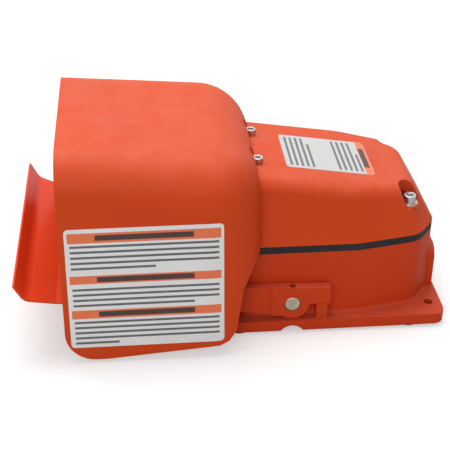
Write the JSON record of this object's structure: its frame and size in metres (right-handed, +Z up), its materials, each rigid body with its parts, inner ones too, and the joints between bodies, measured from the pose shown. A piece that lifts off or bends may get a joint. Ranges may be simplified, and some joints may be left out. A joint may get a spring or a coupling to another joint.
{
  "type": "industrial foot switch",
  "caption": "Guarded industrial foot switch: cast hood over a hinged treadle, with a gasketed switch box, conduit entry and mounting flange behind it.",
  "frame": {"origin": "centre of the whole footprint, on the floor", "axes": "+Z up, +X to the rear away from the foot, Y along the pivot shaft"},
  "size_m": [0.325, 0.197, 0.1585],
  "materials": {
    "base_paint": "semi-matt orange enamel on cast aluminium",
    "hood_paint": "semi-matt orange enamel on cast aluminium",
    "treadle_paint": "semi-matt orange enamel on cast aluminium",
    "plate_paint": "gloss orange enamel on steel sheet",
    "gasket_rubber": "matt black nitrile",
    "foot_rubber": "matt black rubber",
    "seal_rubber": "black nitrile",
    "bronze": "sintered bronze",
    "brass": "bright",
    "zinc_steel": "zinc plated",
    "spring_steel": "bright",
    "black_steel": "black oxide",
    "stainless": "turned stainless",
    "green_screw": "green ground screw",
    "switch_plastic": "phenolic moulding",
    "plunger_plastic": "moulded"
  },
  "bodies": {
    "housing": {"base_housing": "base_paint", "hood_cover": "hood_paint", "cover_gasket": "gasket_rubber", "rubber_feet": "foot_rubber", "pivot_bushes": "bronze", "shaft_seals": "seal_rubber", "switch_case": "switch_plastic", "switch_bracket": "zinc_steel", "switch_screws": "zinc_steel", "switch_terminals": "brass", "rear_screw_washers": "stainless", "rear_cover_screws": "stainless", "front_cover_screws": "stainless", "bracket_screws": "zinc_steel", "ground_lug": "brass", "ground_screw": "green_screw"},
    "treadle_arm": {"treadle": "treadle_paint", "foot_plate": "plate_paint", "plate_rivets": "plate_paint", "pivot_shaft": "zinc_steel", "shaft_set_screws": "black_steel", "actuator_lever": "zinc_steel", "lever_set_screw": "black_steel", "return_spring": "spring_steel"},
    "plunger": {"switch_plunger": "plunger_plastic"}
  },
  "joints": [
    {"name": "treadle_hinge", "type": "hinge", "parent": "housing", "child": "treadle_arm", "pos_m": [0.0425, 0, 0.025], "axis": [0, -1, 0], "range_deg": [0, 8], "stiffness_Nm_per_rad": 12, "springref_deg": -11.46, "deforming": ["return_spring"]},
    {"name": "plunger_slide", "type": "slide", "parent": "housing", "child": "plunger", "axis": [0, 0, 1], "range_m": [0, 0.0044], "stiffness_N_per_m": 200, "springref_m": -0.002}
  ],
  "couplings": [
    {"joint": "plunger_slide", "follows": "treadle_hinge", "m_per_rad": 0.031}
  ]
}
